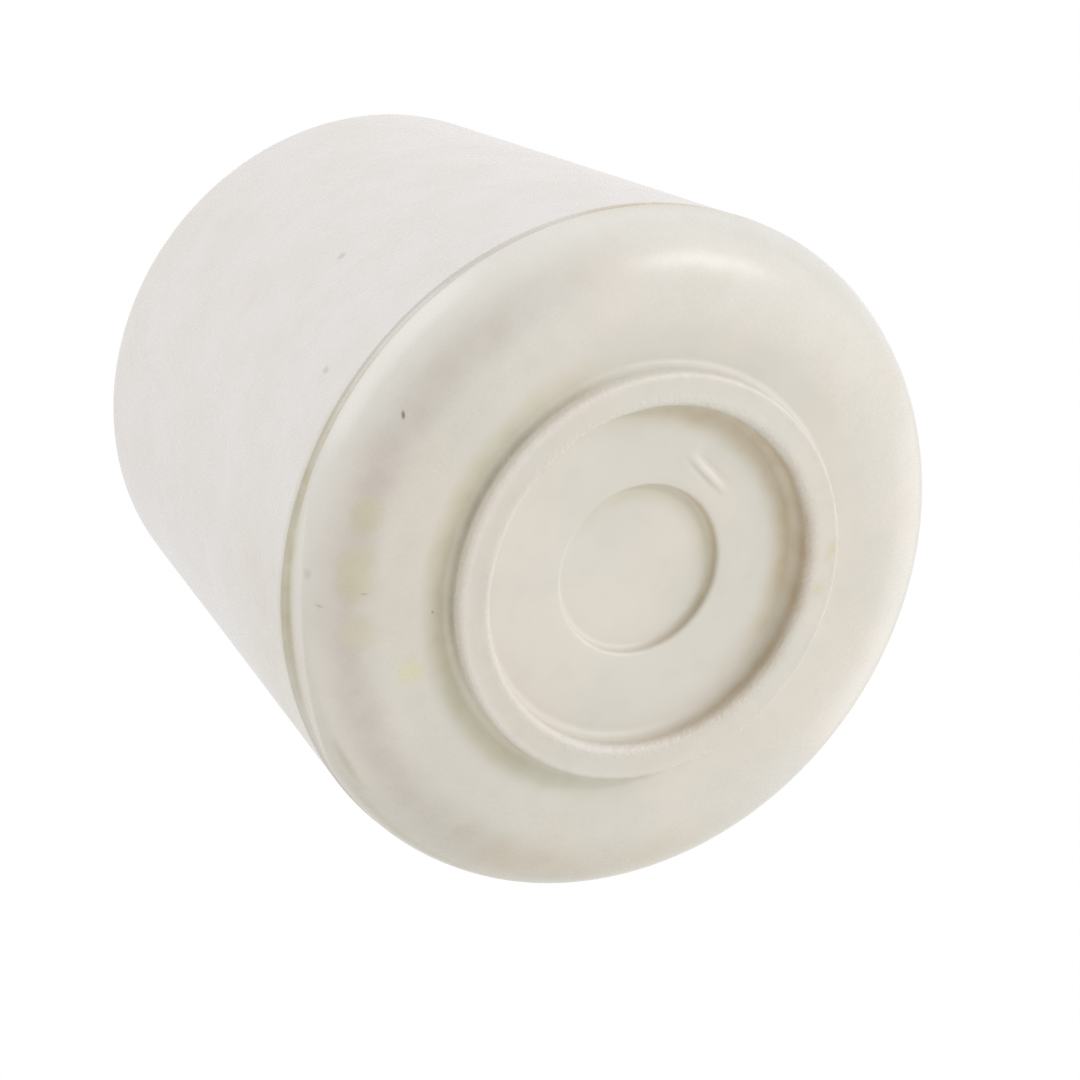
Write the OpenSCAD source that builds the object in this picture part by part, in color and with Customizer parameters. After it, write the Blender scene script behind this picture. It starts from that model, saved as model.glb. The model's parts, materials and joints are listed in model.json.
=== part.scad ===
// Rubber foot for a round furniture leg: one moulded piece that pushes over the end of a tube.
// It stands on its tread ring at z = 0, with its axis along +Z and the mouth of the socket on top.
// One profile is revolved: its round stretches are true arcs, so every fillet is a true torus.

/* [Overall] */
// Height from the tread face to the mouth
foot_h = 34.5; // [28:0.1:44]
// Outer diameter of the base at the parting line
base_d = 37; // [31:0.1:46]

/* [Socket] */
// Diameter of the tube that the socket grips
tube_d = 22; // [18:0.1:27]
// Thickness of the sleeve's wall at the mouth
mouth_wall = 3.35; // [2.6:0.05:4.5]
// Depth of the socket below the mouth
socket_depth = 25; // [18:0.1:30]
// Width of the chamfer that leads the tube in
lead_in = 0.8; // [0.4:0.1:1.2]
// Fillet round the bottom of the socket
socket_fillet_r = 1.2; // [0.5:0.1:2]
// Rounding of the outer edge of the mouth
lip_r = 1.1; // [0.6:0.1:1.4]

/* [Base] */
// Height of the parting line above the tread face
parting_z = 5.15; // [4.5:0.05:6.5]
// Radius of the shoulder next to the parting line
rim_r = 3; // [2.2:0.1:3.6]
// Width of the flat sole between the tread ring and the shoulder
sole_flat_w = 1.68; // [1.1:0.02:2.5]
// Radius of the hollow groove left by the mould at the parting line
groove_r = 0.5; // [0.3:0.05:0.7]
// Depth of the groove below the rim of the base
groove_depth = 0.26; // [0.12:0.01:0.36]
// Step by which the end of the sleeve lies inside the rim of the base
sleeve_step = 0.1; // [0:0.01:0.3]

/* [Trimmed sliver] */
// Greatest depth to which the rim is trimmed at the parting line
sliver_w = 0.38; // [0.2:0.02:0.6]
// Angle that the trimmed face spans round the rim
sliver_span = 54; // [40:1:80]
// Direction of the middle of the trimmed face
sliver_dir = -134; // [-180:1:180]

/* [Tread ring] */
// Outer diameter of the ring that the foot stands on
ring_d = 22; // [18:0.1:27]
// Width of the ring
ring_w = 1.8; // [1.2:0.1:2.6]
// Height of the ring above the sole
ring_h = 1.25; // [1.1:0.05:1.6]
// Rounding of the ring's outer edge
ring_edge_r = 0.25; // [0.15:0.05:0.5]
// Rounding of the ring's inner edge, which runs into the wall of the disc
ring_in_edge_r = 0.4; // [0.15:0.05:0.6]
// Hollow fillet between the ring and the sole
ring_root_r = 0.5; // [0.3:0.05:1]

/* [Recesses] */
// Depth of the disc inside the ring, below the tread face
disc_depth = 1.35; // [1.1:0.05:1.8]
// Diameter of the round pocket in the middle of the disc
pocket_d = 9.1; // [6:0.1:11]
// Depth of the pocket below the disc
pocket_depth = 0.6; // [0.4:0.05:1.4]
// Hollow fillet round the foot of each recess
recess_fillet_r = 0.55; // [0.2:0.05:0.7]
// Rounding of the edge of the pocket
pocket_edge_r = 0.2; // [0.1:0.05:0.3]

/* [Mould tick] */
// Length of the raised tick on the disc, from point to point
tick_l = 3.6; // [2:0.1:4]
// Width of the tick in its middle
tick_w = 0.6; // [0.3:0.05:0.8]
// Height of the tick above the disc
tick_h = 0.16; // [0.1:0.01:0.3]
// Distance of the middle of the tick from the wall of the pocket
tick_gap = 1.5; // [1:0.05:2.2]
// Turn of the tick from the direction round the ring
tick_turn = 9; // [-20:1:20]

/* [Hidden] */
$fn = 128;
eps = 0.01;
// How far a cutter, or the tick's foot, passes the face that it meets
spare = 0.5;
// The greatest share of its wall that a rounding takes
rounding_share = 0.9;

base_r = base_d / 2;
sleeve_end_r = base_r - sleeve_step;
bore_r = tube_d / 2;
mouth_r = bore_r + mouth_wall;
socket_floor_z = foot_h - socket_depth;

// The sleeve's side leans in by this angle, and its lip is an arc tangent to the side and the top.
taper = atan((sleeve_end_r - mouth_r) / (foot_h - parting_z));
lip_x = mouth_r + lip_r * tan(taper) - lip_r / cos(taper);
lip_z = foot_h - lip_r;

ring_out_r = ring_d / 2;
ring_in_r = ring_out_r - ring_w;
pocket_r = pocket_d / 2;
tick_radius = pocket_r + tick_gap;

// The recesses are shallow, so the fillet at the foot of each is limited by its wall.
disc_fillet_r = min(recess_fillet_r, rounding_share * (disc_depth - ring_in_edge_r));
pocket_fillet_r = min(recess_fillet_r, rounding_share * (pocket_depth - pocket_edge_r));

// The shoulder is two arcs, tangent to each other. The first is tangent to the rim and leaves room
// for the second, which is tangent to the sole, so its radius follows from where the sole's flat ends.
sole_z = ring_h;
shoulder_h = parting_z - sole_z;
sole_x = ring_out_r + sole_flat_w;
rim_arc_r = min(rim_r, rounding_share * (base_r - sole_x));
rim_x = base_r - rim_arc_r;
sole_arc_r = ((rim_x - sole_x) ^ 2 + shoulder_h ^ 2 - rim_arc_r ^ 2) / (2 * (shoulder_h - rim_arc_r));
sole_arc_z = sole_z + sole_arc_r;
blend_dir = asin((sole_arc_r - shoulder_h) / (sole_arc_r - rim_arc_r));

// The trimmed face is part of a larger cylinder whose axis is moved away from the sliver.
sliver_half = sliver_span / 2;
sliver_shift = sliver_w * (2 * base_r - sliver_w) / (2 * (base_r * (1 - cos(sliver_half)) - sliver_w));
sliver_r = base_r - sliver_w + sliver_shift;

// A quarter-round corner at the origin that fills the angle between +X and +Y.
module hollow_fillet(r) {
    difference() {
        translate([-eps, -eps])
            square(r + eps);
        translate([r, r])
            circle(r = r);
    }
}

module sleeve_profile() {
    polygon([
        [0, parting_z],
        [sleeve_end_r, parting_z],
        [lip_x + lip_r * cos(taper), lip_z + lip_r * sin(taper)],
        [lip_x, lip_z],
        [lip_x, foot_h],
        [0, foot_h]
    ]);
    translate([lip_x, lip_z])
        circle(r = lip_r);
}

module shoulder_profile() {
    blend_x = rim_x + rim_arc_r * cos(blend_dir);
    blend_z = parting_z - rim_arc_r * sin(blend_dir);
    polygon([
        [0, sole_z],
        [sole_x, sole_z],
        [blend_x, blend_z],
        [base_r, parting_z],
        [0, parting_z]
    ]);
    intersection() {
        translate([rim_x, parting_z])
            circle(r = rim_arc_r);
        translate([0, sole_z])
            square([base_r + spare, shoulder_h]);
    }
    intersection() {
        translate([sole_x, sole_arc_z])
            circle(r = sole_arc_r);
        translate([sole_x, sole_z - spare])
            square([blend_x - sole_x, blend_z - sole_z + spare]);
    }
}

module ring_profile() {
    difference() {
        translate([ring_in_r, 0])
            square([ring_w, sole_z + spare]);
        translate([ring_in_r, 0])
            hollow_fillet(ring_in_edge_r);
        translate([ring_out_r, 0])
            mirror([1, 0])
                hollow_fillet(ring_edge_r);
    }
    translate([ring_out_r, sole_z])
        mirror([0, 1])
            hollow_fillet(ring_root_r);
}

// A round recess with a hollow fillet at its foot, opening towards -Z from z_mouth.
module recess_profile(r, z_mouth, depth, fillet) {
    difference() {
        translate([-eps, z_mouth - eps])
            square([r + eps, depth + eps]);
        translate([r, z_mouth + depth])
            mirror([1, 0])
                mirror([0, 1])
                    hollow_fillet(fillet);
    }
}

module socket_profile() {
    difference() {
        translate([-eps, socket_floor_z])
            square([bore_r + eps, socket_depth + eps]);
        translate([bore_r, socket_floor_z])
            mirror([1, 0])
                hollow_fillet(socket_fillet_r);
    }
    polygon([
        [0, foot_h + eps],
        [bore_r + lead_in + eps, foot_h + eps],
        [bore_r, foot_h - lead_in],
        [0, foot_h - lead_in]
    ]);
}

// What rounds the edge of the pocket: a fillet taken away between the disc and the wall.
module pocket_edge_profile() {
    translate([pocket_r, disc_depth])
        hollow_fillet(pocket_edge_r);
}

module foot_profile() {
    difference() {
        union() {
            sleeve_profile();
            shoulder_profile();
            ring_profile();
        }
        socket_profile();
        recess_profile(ring_in_r, 0, disc_depth, disc_fillet_r);
        recess_profile(pocket_r, disc_depth, pocket_depth, pocket_fillet_r);
        pocket_edge_profile();
        translate([base_r - groove_depth + groove_r, parting_z])
            circle(r = groove_r);
    }
}

// Everything outside the trimmed face, from the sole up to the parting line.
module sliver_cutter() {
    translate([0, 0, sole_z])
        difference() {
            cylinder(h = shoulder_h, r = base_r + spare);
            rotate([0, 0, sliver_dir])
                translate([-sliver_shift, 0, -spare])
                    cylinder(h = shoulder_h + 2 * spare, r = sliver_r);
        }
}

// The tick is what two round discs have in common, so it narrows to a point at both ends.
module mould_tick() {
    side_r = (tick_l ^ 2 + tick_w ^ 2) / (4 * tick_w);
    translate([tick_radius, 0, disc_depth - tick_h])
        rotate([0, 0, tick_turn])
            intersection_for (side = [-1, 1])
                translate([side * (side_r - tick_w / 2), 0, 0])
                    cylinder(h = tick_h + spare, r = side_r);
}

module rubber_foot() {
    color([0.87, 0.85, 0.82]) {
        difference() {
            rotate_extrude()
                foot_profile();
            sliver_cutter();
        }
        mould_tick();
    }
}

rubber_foot();
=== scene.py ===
import json
from math import asin, atan, atan2, cos, exp, hypot, pi, radians, sin, tan

import bmesh
import bpy
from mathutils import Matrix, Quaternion, Vector, noise


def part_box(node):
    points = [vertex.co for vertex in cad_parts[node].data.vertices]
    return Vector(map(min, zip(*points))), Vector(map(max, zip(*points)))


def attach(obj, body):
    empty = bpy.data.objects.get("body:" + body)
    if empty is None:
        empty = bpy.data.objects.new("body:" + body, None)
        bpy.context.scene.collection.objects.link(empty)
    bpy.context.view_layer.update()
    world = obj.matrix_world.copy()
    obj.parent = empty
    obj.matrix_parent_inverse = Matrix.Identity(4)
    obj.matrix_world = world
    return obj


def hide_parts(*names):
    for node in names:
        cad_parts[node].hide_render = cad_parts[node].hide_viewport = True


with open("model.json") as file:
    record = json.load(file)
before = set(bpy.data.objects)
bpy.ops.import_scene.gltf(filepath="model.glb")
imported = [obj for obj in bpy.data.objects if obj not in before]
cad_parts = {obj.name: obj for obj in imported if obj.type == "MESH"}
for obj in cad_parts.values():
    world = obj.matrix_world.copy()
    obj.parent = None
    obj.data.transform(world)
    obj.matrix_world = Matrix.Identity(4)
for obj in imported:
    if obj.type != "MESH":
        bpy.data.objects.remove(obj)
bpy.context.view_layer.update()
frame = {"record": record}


# ---- The rubber foot --------------------------------------------------------------------------
# One piece of off-white rubber, pressed in a two-part mould that closes on a line round the widest
# part. The sleeve grips the end of a tube, and the foot stands on the ring under its rounded base.
MM = 0.001
foot_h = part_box("rubber_foot")[1].z
mounts = {mount["name"]: mount for mount in frame["record"]["mounts"]}
bore_r = mounts["leg_socket"]["dims"]["r_mm"] * MM
base_r = 18.5 * MM
sleeve_end_r = 18.4 * MM
mouth_wall = 3.35 * MM
socket_depth = 25 * MM
lead_in = 0.8 * MM
socket_fillet_r = 1.2 * MM
lip_r = 1.1 * MM
parting_z = 5.15 * MM
groove_r = 0.5 * MM
groove_depth = 0.26 * MM
rim_r = 3.0 * MM
sole_flat_w = 1.68 * MM
ring_out_r = 11 * MM
ring_w = 1.8 * MM
ring_h = 1.25 * MM
ring_edge_r = 0.25 * MM
ring_in_edge_r = 0.4 * MM
ring_root_r = 0.5 * MM
disc_depth = 1.35 * MM
pocket_r = 4.55 * MM
pocket_depth = 0.6 * MM
disc_fillet_r = 0.55 * MM
pocket_fillet_r = 0.36 * MM
pocket_edge_r = 0.2 * MM

mouth_r = bore_r + mouth_wall
socket_floor_z = foot_h - socket_depth
ring_in_r = ring_out_r - ring_w
pocket_floor_z = disc_depth + pocket_depth

# The sleeve's side leans in by this angle, and its lip is tangent to the side and to the top.
taper = atan((sleeve_end_r - mouth_r) / (foot_h - parting_z))
lip_x = mouth_r + lip_r * tan(taper) - lip_r / cos(taper)
lip_z = foot_h - lip_r

# The shoulder is two arcs, tangent to each other. The first is tangent to the rim and the second to
# the sole.
sole_z = ring_h
sole_x = ring_out_r + sole_flat_w
shoulder_h = parting_z - sole_z
rim_x = base_r - rim_r
sole_arc_r = ((rim_x - sole_x) ** 2 + shoulder_h ** 2 - rim_r ** 2) / (2 * (shoulder_h - rim_r))
blend_dir = asin((sole_arc_r - shoulder_h) / (sole_arc_r - rim_r))


def arc(x, z, r, start, end, steps):
    """Points on an arc round (x, z), from one direction to the other in so many steps."""
    turns = (start + (end - start) * step / steps for step in range(steps + 1))
    return [(x + r * cos(turn), z + r * sin(turn)) for turn in turns]


# The outline runs from the middle of the socket's floor, out over the mouth and down the outside, and
# ends in the middle of the pocket. The rows down the sleeve and across the tick are there to be moved.
SLEEVE_ROWS = 24
TICK_ROWS = 24
tick_l = 3.6 * MM
tick_w = 0.6 * MM
tick_h = 0.16 * MM
tick_gap = 1.5 * MM
tick_turn = radians(9)
tick_r = pocket_r + tick_gap

# The groove is an arc that ends where it meets the sleeve and the rim. The rim's arc starts just past
# it, and the sole's arc just past the end of the rim's.
groove_x = base_r - groove_depth + groove_r
groove_top_dir = radians(133)
groove_foot_dir = radians(237)
rim_start_dir = -radians(8.5)
blend_gap = radians(2)
lip_end = Vector(arc(lip_x, lip_z, lip_r, taper, taper, 1)[0])
groove_top = Vector(arc(groove_x, parting_z, groove_r, groove_top_dir, 0, 1)[0])
socket_fillet_z = socket_floor_z + socket_fillet_r
outline = [(0, socket_floor_z)]
outline += arc(bore_r - socket_fillet_r, socket_fillet_z, socket_fillet_r, -pi / 2, 0, 8)
outline += [(bore_r, foot_h - lead_in), (bore_r + lead_in, foot_h)]
outline += arc(lip_x, lip_z, lip_r, pi / 2, taper, 14)
outline += [lip_end.lerp(groove_top, row / SLEEVE_ROWS) for row in range(1, SLEEVE_ROWS)]
outline += arc(groove_x, parting_z, groove_r, groove_top_dir, groove_foot_dir, 10)
outline += arc(rim_x, parting_z, rim_r, rim_start_dir, -blend_dir, 34)
outline += arc(sole_x, sole_z + sole_arc_r, sole_arc_r, -blend_dir - blend_gap, -pi / 2, 14)
outline += arc(ring_out_r + ring_root_r, sole_z - ring_root_r, ring_root_r, pi / 2, pi, 12)
outline += arc(ring_out_r - ring_edge_r, ring_edge_r, ring_edge_r, 0, -pi / 2, 8)
outline += arc(ring_in_r + ring_in_edge_r, ring_in_edge_r, ring_in_edge_r, -pi / 2, -pi, 10)
outline += arc(ring_in_r - disc_fillet_r, disc_depth - disc_fillet_r, disc_fillet_r, 0, pi / 2, 8)
outline += [(tick_r + tick_w * (1 - 2 * row / TICK_ROWS), disc_depth) for row in range(TICK_ROWS + 1)]
outline += arc(pocket_r + pocket_edge_r, disc_depth + pocket_edge_r, pocket_edge_r, -pi / 2, -pi, 5)
pocket_fillet_z = pocket_floor_z - pocket_fillet_r
outline += arc(pocket_r - pocket_fillet_r, pocket_fillet_z, pocket_fillet_r, 0, pi / 2, 8)
outline += [(0, pocket_floor_z)]

# Points that lie closer than HAIR are the same point.
SPIN_STEPS = 360
HAIR = 0.002 * MM
shell = bmesh.new()
profile_verts = [shell.verts.new((x, 0, z)) for x, z in outline]
profile_edges = [shell.edges.new(pair) for pair in zip(profile_verts, profile_verts[1:])]
bmesh.ops.spin(
    shell,
    geom=profile_verts + profile_edges,
    cent=(0, 0, 0),
    axis=(0, 0, 1),
    angle=2 * pi,
    steps=SPIN_STEPS,
    use_merge=True,
)
bmesh.ops.remove_doubles(shell, verts=shell.verts, dist=HAIR)
bmesh.ops.recalc_face_normals(shell, faces=shell.faces)

# A sliver was trimmed off the rim below the parting line. The cut is part of a wider cylinder, whose
# axis is moved away from the cut.
trim_depth = 0.38 * MM
trim_half = radians(27)
trim_dir = radians(-134)
trim_shift = trim_depth * (2 * base_r - trim_depth) / (2 * (base_r * (1 - cos(trim_half)) - trim_depth))
trim_r = base_r - trim_depth + trim_shift
for vert in shell.verts:
    reach = hypot(vert.co.x, vert.co.y)
    if reach > sole_x and vert.co.z < parting_z - HAIR:
        turn = atan2(vert.co.y, vert.co.x) - trim_dir
        limit = (trim_r ** 2 - (trim_shift * sin(turn)) ** 2) ** 0.5 - trim_shift * cos(turn)
        vert.co.xy *= min(1, limit / reach)

# The mould left a tick on the disc, a low ridge that narrows to both ends between two faint hollows.
moat_across = 0.4 * MM
moat_half = 0.14 * MM
moat_depth = 0.04 * MM
for vert in shell.verts:
    if abs(vert.co.z - disc_depth) < HAIR and vert.co.x > 0:
        across = (vert.co.x - tick_r) * cos(tick_turn) + vert.co.y * sin(tick_turn)
        along = vert.co.y * cos(tick_turn) - (vert.co.x - tick_r) * sin(tick_turn)
        taper_off = max(0, 1 - (2 * along / tick_l) ** 2)
        crest = max(0, 1 - (2 * across / tick_w) ** 2)
        moat = exp(-(((abs(across) - moat_across) / moat_half) ** 2))
        vert.co.z -= (tick_h * crest - moat_depth * moat) * taper_off

# The mould's upper half sat a little to one side, so the base stands proud of the sleeve opposite. The
# shift fades out towards the mouth, and the socket keeps its place.
mismatch_dir = radians(150)
mismatch = Vector((cos(mismatch_dir), sin(mismatch_dir))) * 0.08 * MM
outside_r = bore_r + 1.5 * lead_in
for vert in shell.verts:
    if vert.co.z > parting_z and vert.co.xy.length > outside_r:
        vert.co.xy += mismatch * (foot_h - vert.co.z) / (foot_h - parting_z)

# Rubber shrinks unevenly as it cools, so the skin is a little wavy. It only ever sinks in.
SWELL = 9 * MM
swell_depth = 0.02 * MM
for vert in shell.verts:
    if vert.co.xy.length > ring_out_r + ring_root_r and vert.co.z > sole_z - HAIR:
        sunk = swell_depth * (1 + noise.noise(vert.co / SWELL))
        vert.co.xy *= 1 - sunk / vert.co.xy.length

# Both edges of the tread ring are scuffed, in spots.
SCUFF = 0.5 * MM
scuff_bias = 0.1
scuff_reach = 0.35 * MM
scuff_depth = 0.09 * MM
for vert in shell.verts:
    edge_gap = min(abs(vert.co.xy.length - ring_in_r), abs(vert.co.xy.length - ring_out_r))
    if vert.co.z < ring_in_edge_r and edge_gap < scuff_reach:
        worn = max(0, noise.noise(vert.co / SCUFF) + scuff_bias)
        vert.co.z += scuff_depth * worn * (1 - edge_gap / scuff_reach)

CREASE = radians(32)
foot_mesh = bpy.data.meshes.new("rubber_foot_shell")
for face in shell.faces:
    face.smooth = True
for edge in shell.edges:
    edge.smooth = edge.calc_face_angle(0) < CREASE
shell.to_mesh(foot_mesh)
shell.free()
foot = bpy.data.objects.new("rubber_foot_shell", foot_mesh)
bpy.context.scene.collection.objects.link(foot)


def linear(hex_colour):
    """An sRGB hex value as linear RGBA."""
    channels = [int(hex_colour[i:i + 2], 16) / 255 for i in (0, 2, 4)]
    return [c / 12.92 if c <= 0.04045 else ((c + 0.055) / 1.055) ** 2.4 for c in channels] + [1]


def add_node(tree, kind, inputs=(), **settings):
    """A node with its settings. Each input is a value, a socket, or a node, whose live output is taken."""
    node = tree.nodes.new(kind)
    for name, value in settings.items():
        setattr(node, name, value)
    for key, value in dict(inputs).items():
        if isinstance(value, bpy.types.Node):
            value = next(output for output in value.outputs if output.enabled)
        if isinstance(value, bpy.types.NodeSocket):
            tree.links.new(value, node.inputs[key])
        else:
            node.inputs[key].default_value = value
    return node


# Off-white thermoplastic rubber, moulded. The eye sees a pale satin body with a soft, wide highlight,
# a warmer base under a cooler sleeve, brown dirt and painted shade in the corners and hollows, painted
# shade on the side away from the light, and painted light on the lit side and along the edges.
rubber = bpy.data.materials.new("off_white_moulded_rubber")
rubber.use_nodes = True
rubber_tree = rubber.node_tree
surface = rubber_tree.nodes["Principled BSDF"]
place = add_node(rubber_tree, "ShaderNodeTexCoord").outputs["Object"]
height = add_node(rubber_tree, "ShaderNodeSeparateXYZ", {0: place}).outputs["Z"]
flat = add_node(rubber_tree, "ShaderNodeVectorMath", {0: place, 1: (1, 1, 0)}, operation="MULTIPLY")
reach = add_node(rubber_tree, "ShaderNodeVectorMath", {0: flat}, operation="LENGTH")
around = add_node(rubber_tree, "ShaderNodeVectorMath", {0: flat}, operation="NORMALIZE")
profile_place = add_node(rubber_tree, "ShaderNodeCombineXYZ", {"X": reach, "Z": height})

# The sockets of a mix of two colours: how much of the upper one shows, the two colours, and the result.
SHARE, UNDER, OVER = 0, 6, 7
MIXED = 2

# The base is a warm white with mellower patches, and the sleeve above the seam is cooler.
SEAM_BLUR = 0.06 * MM
MELLOW_PATCH = 6 * MM
above_seam = add_node(
    rubber_tree,
    "ShaderNodeMapRange",
    {"Value": height, "From Min": parting_z - SEAM_BLUR, "From Max": parting_z + SEAM_BLUR},
    interpolation_type="SMOOTHSTEP",
)
mellow_patches = add_node(
    rubber_tree, "ShaderNodeTexNoise", {"Vector": place, "Scale": 1 / MELLOW_PATCH, "Detail": 0}
)
mellow = add_node(
    rubber_tree,
    "ShaderNodeMapRange",
    {"Value": mellow_patches, "From Min": 0.4, "From Max": 0.6},
    interpolation_type="SMOOTHSTEP",
)
base_colour = add_node(
    rubber_tree,
    "ShaderNodeMix",
    {SHARE: mellow, UNDER: linear("e1dacf"), OVER: linear("dedad0")},
    data_type="RGBA",
)
colour = add_node(
    rubber_tree,
    "ShaderNodeMix",
    {SHARE: above_seam, UNDER: base_colour, OVER: linear("e1dcd9")},
    data_type="RGBA",
)

# Each kind of film lies in uneven patches: their size in millimetres, the level of the noise at which
# they start and at which they are whole, and then their share and colour.
FILMS = {
    "cloud": (4, 0.35, 0.7, 0.2, "d2ccbe"),
    "dust": (1.2, 0.45, 0.75, 0.08, "c4bdac"),
}
for patch_mm, start, whole, share, film_colour in FILMS.values():
    film_patches = add_node(
        rubber_tree, "ShaderNodeTexNoise", {"Vector": place, "Scale": 1 / (patch_mm * MM), "Detail": 1}
    )
    film = add_node(
        rubber_tree,
        "ShaderNodeMapRange",
        {"Value": film_patches, "From Min": start, "From Max": whole, "To Max": share},
        interpolation_type="SMOOTHSTEP",
    )
    colour = add_node(
        rubber_tree,
        "ShaderNodeMix",
        {SHARE: film, UNDER: colour, OVER: linear(film_colour)},
        data_type="RGBA",
    )

# Each stain, painted shade and painted highlight lies along a circle, given by its radius, height and
# half-width in millimetres. It is strongest in one direction and ends a given angle away, in degrees;
# then come its share and colour.
STAINS_AND_PAINTED_LIGHT = {
    # Painted light: a paler band on the rim below the seam, strongest towards -60 degrees.
    "painted light on the rim by the seam": (18.4, 4.3, 2.6, -60, 175, 0.7, "dedcd6"),
    # Painted light: the rim is paler still on its lit side, standing in for more light there.
    "painted light on the rim's lit side": (18.2, 3.9, 2.4, -10, 70, 0.4, "eae8e3"),
    # Painted shade: the sleeve is darker and yellower on its side away from the light.
    "painted shade on the sleeve's shaded side": (17.8, 9.0, 9.0, -170, 60, 0.35, "c9bf9f"),
    # Painted shade: olive darkening in the corner at the ring's root, on the side away from the light.
    "painted shade in the ring root": (11.6, 1.3, 1.4, -135, 105, 0.42, "b2ac76"),
    # Painted shadow: a dark line along the foot of the ring's outer wall.
    "painted shadow line in the ring root": (11.0, 1.0, 0.4, -105, 60, 0.4, "6a6048"),
    "face of the ring, where it treads": (10.2, 0, 1.1, -150, 172, 0.16, "b5aa98"),
    # Painted shade with brown dirt: darkens the wall of the recessed disc.
    "painted shade and dirt on the disc's wall": (9.3, 0.6, 1.05, 65, 90, 0.42, "a27c26"),
    # Painted shade with brown dirt: darkens the corner at the foot of the disc's wall.
    "painted shade and dirt at the foot of the disc's wall": (8.6, 1.35, 1.35, 25, 95, 0.46, "b59644"),
    # Painted shade with brown dirt: darkens the pocket's wall.
    "painted shade and dirt on the pocket's wall": (4.55, 1.7, 0.5, 62, 85, 0.36, "a8862e"),
    # Painted shade: the pocket's floor darkens towards its wall.
    "painted shade on the pocket's floor by the wall": (4.2, 1.95, 1.1, 0, 110, 0.3, "b8ae7c"),
    # Painted shade: the sole is a little darker on the side away from the light.
    "painted shade on the sole's shaded side": (13.6, 1.3, 3.4, -150, 110, 0.08, "b9ad8c"),
    # Painted shade: a darker band round the shoulder, strongest on the side away from the light.
    "painted shade on the shoulder": (16.3, 2.3, 1.9, -120, 100, 0.3, "a3918a"),
    # Painted shadow under the sleeve's overhang, with olive dirt, in the seam on the shaded side.
    "painted shade and dirt in the seam's shaded side": (18.3, 5.25, 1.0, -120, 35, 0.42, "a8a068"),
    "seam on the lit side": (18.3, 5.1, 1.1, -31, 18, 0.32, "c9ad7c"),
    "seam all round": (18.25, 5.2, 0.5, -75, 100, 0.28, "a89c74"),
    "shoulder by the trimmed face": (17.9, 4.0, 0.7, 175, 32, 0.4, "ab955c"),
    "shoulder on the far side": (16.6, 2.6, 2.6, 152, 42, 0.22, "b3a470"),
    # Painted highlight: a paler line along the ring's inner edge, where it catches the light.
    "painted highlight on the ring's inner edge": (9.3, 0.12, 0.4, -150, 110, 0.35, "f4ebe5"),
    # Painted highlight: a broken pale band along the ring's outer edge.
    "painted highlight on the ring's outer edge": (10.9, 0.12, 0.45, -50, 150, 0.35, "f0e4dc"),
    # Painted highlight: a paler line along the pocket's edge.
    "painted highlight on the pocket's edge": (4.62, 1.38, 0.25, -160, 100, 0.35, "efe8e0"),
}

# The same uneven patches break up every stain, painted shade and painted highlight.
BROKEN_PATCH = 1.5 * MM
broken_patches = add_node(
    rubber_tree, "ShaderNodeTexNoise", {"Vector": place, "Scale": 1 / BROKEN_PATCH, "Detail": 3}
)
broken = add_node(
    rubber_tree,
    "ShaderNodeMapRange",
    {"Value": broken_patches, "From Min": 0.35, "From Max": 0.68, "To Min": 0.78, "To Max": 1.14},
    interpolation_type="SMOOTHSTEP",
)
for reach_mm, height_mm, width_mm, azimuth, spread, share, stain_or_painted_light_colour in STAINS_AND_PAINTED_LIGHT.values():
    circle = (reach_mm * MM, 0, height_mm * MM)
    gap = add_node(
        rubber_tree, "ShaderNodeVectorMath", {0: profile_place, 1: circle}, operation="DISTANCE"
    )
    near = add_node(
        rubber_tree,
        "ShaderNodeMapRange",
        {"Value": gap, "From Min": 0, "From Max": width_mm * MM, "To Min": share, "To Max": 0},
        interpolation_type="SMOOTHSTEP",
    )
    way = (cos(radians(azimuth)), sin(radians(azimuth)), 0)
    facing = add_node(rubber_tree, "ShaderNodeVectorMath", {0: around, 1: way}, operation="DOT_PRODUCT")
    on_side = add_node(
        rubber_tree,
        "ShaderNodeMapRange",
        {"Value": facing, "From Min": cos(radians(spread)), "From Max": 1},
        interpolation_type="SMOOTHSTEP",
    )
    amount = add_node(rubber_tree, "ShaderNodeMath", {0: near, 1: on_side}, operation="MULTIPLY")
    amount = add_node(rubber_tree, "ShaderNodeMath", {0: amount, 1: broken}, operation="MULTIPLY")
    colour = add_node(
        rubber_tree,
        "ShaderNodeMix",
        {SHARE: amount, UNDER: colour, OVER: linear(stain_or_painted_light_colour)},
        data_type="RGBA",
    )

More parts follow.
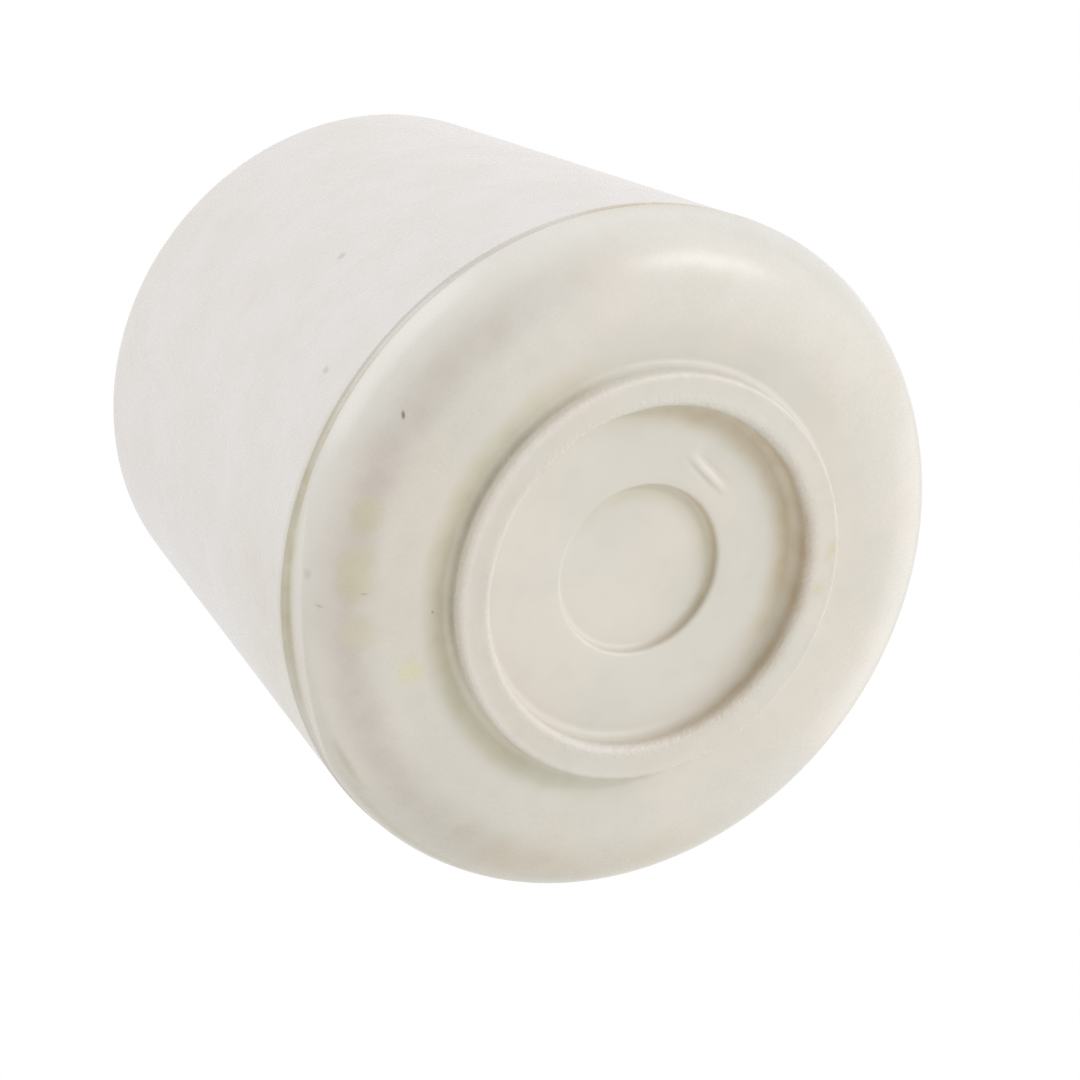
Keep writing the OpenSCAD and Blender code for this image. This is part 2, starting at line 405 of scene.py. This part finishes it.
# Each speck, and the painted highlight on the tick, is an ellipsoid. Its azimuth and its turn about the
# vertical are in degrees, and its radius, its height and its half-axes outwards, round and up in
# millimetres; then come its share and colour.
# It fades from its core, a share of its half-axes, to its edge.
SPECK_CORE = 0.3
SPECK_EDGE = 1.2
SPECKS_AND_TICK_HIGHLIGHT = [
    (-91.7, -33, 16.67, 2.49, 0.11, 0.28, 0.35, 0.8, "564e45"),
    (-92.8, 0, 17.92, 8.64, 0.3, 0.25, 0.35, 0.25, "6e675c"),
    (-75, 0, 16.9, 16, 0.4, 0.3, 0.3, 0.3, "6e675c"),
    (-125.1, 0, 15.59, 1.81, 0.24, 0.07, 0.3, 0.4, "7a7260"),
    (-127.9, 20, 17.53, 2.94, 0.25, 0.1, 0.3, 0.3, "8a8069"),
    (-122.9, 0, 18, 3.5, 0.2, 0.35, 0.3, 0.25, "98a090"),
    (-130.5, 0, 11.95, 1.25, 0.1, 0.1, 0.2, 0.45, "6b6a4c"),
    (-110.4, 0, 16.2, 2.1, 1.1, 1.3, 0.9, 0.3, "c6c284"),
    (-121.5, 0, 16.1, 2.03, 1.3, 2, 0.9, 0.33, "c6c284"),
    (-133, 0, 15.9, 1.94, 1.2, 1.1, 0.9, 0.25, "c6c284"),
    (-143.5, 0, 13.6, 1.3, 0.9, 0.9, 0.5, 0.3, "dcd890"),
    (52.3, 30, 10.5, 0, 0.35, 0.8, 0.3, 0.3, "d8c88c"),
    (63.8, 0, 10.04, 0, 0.4, 0.5, 0.3, 0.25, "d8c88c"),
    (-158.2, 0, 17.6, 3.45, 0.5, 1.9, 0.35, 0.4, "a29b62"),
    # Painted highlight: a pale streak along the crest of the tick.
    (0, 9, 6.1, 1.2, 0.3, 1.7, 0.4, 0.55, "f4ede6"),
]
for azimuth, turn, reach_mm, height_mm, out_mm, round_mm, up_mm, share, speck_or_highlight_colour in SPECKS_AND_TICK_HIGHLIGHT:
    centre = Vector((cos(radians(azimuth)), sin(radians(azimuth)), 0)) * reach_mm * MM
    centre.z = height_mm * MM
    settings = {
        "Vector": place,
        "Location": centre,
        "Rotation": (0, 0, radians(azimuth + turn)),
        "Scale": Vector((out_mm, round_mm, up_mm)) * MM,
    }
    in_speck = add_node(rubber_tree, "ShaderNodeMapping", settings, vector_type="TEXTURE")
    gap = add_node(rubber_tree, "ShaderNodeVectorMath", {0: in_speck}, operation="LENGTH")
    near = add_node(
        rubber_tree,
        "ShaderNodeMapRange",
        {"Value": gap, "From Min": SPECK_CORE, "From Max": SPECK_EDGE, "To Min": share, "To Max": 0},
        interpolation_type="SMOOTHSTEP",
    )
    colour = add_node(
        rubber_tree,
        "ShaderNodeMix",
        {SHARE: near, UNDER: colour, OVER: linear(speck_or_highlight_colour)},
        data_type="RGBA",
    )
rubber_tree.links.new(colour.outputs[MIXED], surface.inputs["Base Color"])

# The skin is satin, with a fine grain from the mould under a slower unevenness. The tread ring and the
# disc inside it are duller than the shoulder.
GRAIN = 0.35 * MM
GRAIN_SHARE = 0.012
DULL = 0.4
SATIN = 0.27
DULL_SPREAD = 0.015
grain = add_node(rubber_tree, "ShaderNodeTexNoise", {"Vector": place, "Scale": 1 / GRAIN, "Detail": 1})
smoother = add_node(
    rubber_tree,
    "ShaderNodeMapRange",
    {"Value": reach, "From Min": 11.5 * MM, "From Max": 14 * MM, "To Min": DULL, "To Max": SATIN},
    interpolation_type="SMOOTHSTEP",
)
dullness = add_node(
    rubber_tree,
    "ShaderNodeMapRange",
    {"Value": grain, "From Min": 0.3, "From Max": 0.7, "To Min": -DULL_SPREAD, "To Max": DULL_SPREAD},
    interpolation_type="SMOOTHSTEP",
)
dullness = add_node(rubber_tree, "ShaderNodeMath", {0: smoother, 1: dullness}, operation="ADD")
rubber_tree.links.new(dullness.outputs["Value"], surface.inputs["Roughness"])

# The slow unevenness and the grain make one bump, and nicks are added to it along the ring's two edges,
# each given by its radius and height in millimetres.
ORANGE_PEEL = 2.2 * MM
NICK = 0.25 * MM
NICK_SHARE = 4
BUMP_HEIGHT = 0.02 * MM
RING_EDGES = {"inner": (9.3, 0.1), "outer": (11.1, 0.4)}
orange_peel = add_node(
    rubber_tree, "ShaderNodeTexNoise", {"Vector": place, "Scale": 1 / ORANGE_PEEL, "Detail": 0}
)
uneven = add_node(rubber_tree, "ShaderNodeMath", {0: grain, 1: GRAIN_SHARE}, operation="MULTIPLY")
uneven = add_node(rubber_tree, "ShaderNodeMath", {0: orange_peel, 1: uneven}, operation="ADD")
nicks = add_node(rubber_tree, "ShaderNodeTexNoise", {"Vector": place, "Scale": 1 / NICK, "Detail": 3})
for reach_mm, height_mm in RING_EDGES.values():
    circle = (reach_mm * MM, 0, height_mm * MM)
    gap = add_node(
        rubber_tree, "ShaderNodeVectorMath", {0: profile_place, 1: circle}, operation="DISTANCE"
    )
    rough = add_node(
        rubber_tree,
        "ShaderNodeMapRange",
        {"Value": gap, "From Min": 0.3 * MM, "From Max": 0.8 * MM, "To Min": NICK_SHARE, "To Max": 0},
        interpolation_type="SMOOTHSTEP",
    )
    rough = add_node(rubber_tree, "ShaderNodeMath", {0: nicks, 1: rough}, operation="MULTIPLY")
    uneven = add_node(rubber_tree, "ShaderNodeMath", {0: uneven, 1: rough}, operation="ADD")
bump = add_node(
    rubber_tree, "ShaderNodeBump", {"Strength": 1, "Distance": BUMP_HEIGHT, "Height": uneven}
)
rubber_tree.links.new(bump.outputs["Normal"], surface.inputs["Normal"])
surface.inputs["IOR"].default_value = 1.5
foot_mesh.materials.append(rubber)

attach(foot, "root")
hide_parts("rubber_foot")


# ---- The floor ----------------------------------------------------------------------------------
# A white studio floor at the tread face. It shows from above only and fades out into the white
# surround, so the foot can be seen from underneath, where it stands.
FLOOR_SIDE = 1.2
FLOOR_GAP = 0.02 * MM
FADE_START = 0.05
FADE_END = 0.3
floor_build = bmesh.new()
bmesh.ops.create_grid(floor_build, x_segments=1, y_segments=1, size=FLOOR_SIDE / 2)
floor_mesh = bpy.data.meshes.new("floor")
floor_build.to_mesh(floor_mesh)
floor_build.free()
floor = bpy.data.objects.new("floor", floor_mesh)
bpy.context.scene.collection.objects.link(floor)
floor.location.z = -FLOOR_GAP
floor.visible_diffuse = False
floor.visible_glossy = False
floor.visible_transmission = False
floor.visible_shadow = False

paper = bpy.data.materials.new("white_studio_floor")
paper.use_nodes = True
paper_tree = paper.node_tree
paper_tree.nodes.clear()
coords = add_node(paper_tree, "ShaderNodeTexCoord")
distance = add_node(paper_tree, "ShaderNodeVectorMath", {0: coords.outputs["Object"]}, operation="LENGTH")
fade = add_node(
    paper_tree,
    "ShaderNodeMapRange",
    {"Value": distance, "From Min": FADE_START, "From Max": FADE_END, "To Min": 1, "To Max": 0},
    interpolation_type="SMOOTHSTEP",
)
from_below = add_node(paper_tree, "ShaderNodeNewGeometry").outputs["Backfacing"]
from_above = add_node(paper_tree, "ShaderNodeMath", {0: 1, 1: from_below}, operation="SUBTRACT")
shown = add_node(paper_tree, "ShaderNodeMath", {0: fade, 1: from_above}, operation="MULTIPLY")
clear = add_node(paper_tree, "ShaderNodeBsdfTransparent")
matt = add_node(paper_tree, "ShaderNodeBsdfDiffuse", {"Color": linear("fafafa")})
mixed = add_node(paper_tree, "ShaderNodeMixShader", {0: shown, 1: clear, 2: matt})
add_node(paper_tree, "ShaderNodeOutputMaterial", {"Surface": mixed})
floor_mesh.materials.append(paper)


# ---- The light ----------------------------------------------------------------------------------
# A plain white surround, with large softboxes round the foot and one narrow strip that draws the
# streak on the shoulder. The surround is seen as white but lights the foot at about half of that.
AMBIENT = 0.505
world = bpy.data.worlds.new("surround")
world.use_nodes = True
bpy.context.scene.world = world
world_tree = world.node_tree
world_tree.nodes.clear()
rays = add_node(world_tree, "ShaderNodeLightPath")
seen = add_node(
    world_tree,
    "ShaderNodeMath",
    {0: rays.outputs["Is Camera Ray"], 1: rays.outputs["Is Glossy Ray"]},
    operation="MAXIMUM",
)
seen = add_node(
    world_tree,
    "ShaderNodeMath",
    {0: seen, 1: rays.outputs["Is Transmission Ray"]},
    operation="MAXIMUM",
)
strength = add_node(world_tree, "ShaderNodeMapRange", {"Value": seen, "To Min": AMBIENT, "To Max": 1})
glow = add_node(world_tree, "ShaderNodeBackground", {0: (1, 1, 1, 1), 1: strength})
add_node(world_tree, "ShaderNodeOutputWorld", {"Surface": glow})

# Each lamp has its azimuth, elevation and turn in degrees, its two sides in metres, and its power in
# watts. The top one lights the floor and the mouth, and is kept out of the sleeve's sheen.
LIGHT_DISTANCE = 0.5
light_centre_z = foot_h / 3
SOFTBOXES = {
    "key": (22, -42, 0, 0.6, 0.6, 1.16),
    "strip": (15, -40, 40, 0.22, 0.03, 0.34),
    "side": (-82, 18, 0, 0.5, 0.4, 1.38),
    "left": (180, -16, 0, 0.4, 0.2, 0.28),
    "low_far": (172, -48, 0, 0.4, 0.4, 0.41),
    "rim": (76, 0, 0, 0.3, 0.3, 0.22),
    "top": (90, 78, 0, 0.3, 0.3, 0.9),
}
for name, (azimuth, elevation, turn, width, depth, power) in SOFTBOXES.items():
    lamp = bpy.data.lights.new(name, "AREA")
    lamp.shape = "RECTANGLE"
    lamp.size = width
    lamp.size_y = depth
    lamp.energy = power
    softbox = bpy.data.objects.new(name, lamp)
    bpy.context.scene.collection.objects.link(softbox)
    level = cos(radians(elevation))
    aim = Vector((level * cos(radians(azimuth)), level * sin(radians(azimuth)), sin(radians(elevation))))
    softbox.location = aim * LIGHT_DISTANCE + Vector((0, 0, light_centre_z))
    softbox.rotation_mode = "QUATERNION"
    turned = Quaternion((0, 0, 1), radians(turn))
    softbox.rotation_quaternion = aim.to_track_quat("Z", "Y") @ turned
    softbox.visible_camera = False
    softbox.visible_glossy = name != "top"


# ---- The camera ---------------------------------------------------------------------------------
# A long lens looks up at the tread, 35 degrees away from straight below. It is rolled, so that the
# foot lies across the picture with its mouth to the upper left.
LENS = 266.7
SENSOR = 36
camera_data = bpy.data.cameras.new("camera")
camera_data.lens = LENS
camera_data.sensor_width = SENSOR
camera_data.clip_start = 0.01
camera = bpy.data.objects.new("camera", camera_data)
bpy.context.scene.collection.objects.link(camera)
camera.location = Vector((0, -239.6, -329.4)) * MM
look_at = Vector((-1.69, -4.75, 3.35)) * MM
CAMERA_ROLL = radians(-54.55)
camera.rotation_mode = "QUATERNION"
camera.rotation_quaternion = (look_at - camera.location).to_track_quat("-Z", "Y") @ Quaternion(
    (0, 0, 1), CAMERA_ROLL
)
bpy.context.scene.camera = camera
bpy.context.scene.view_settings.view_transform = "Standard"
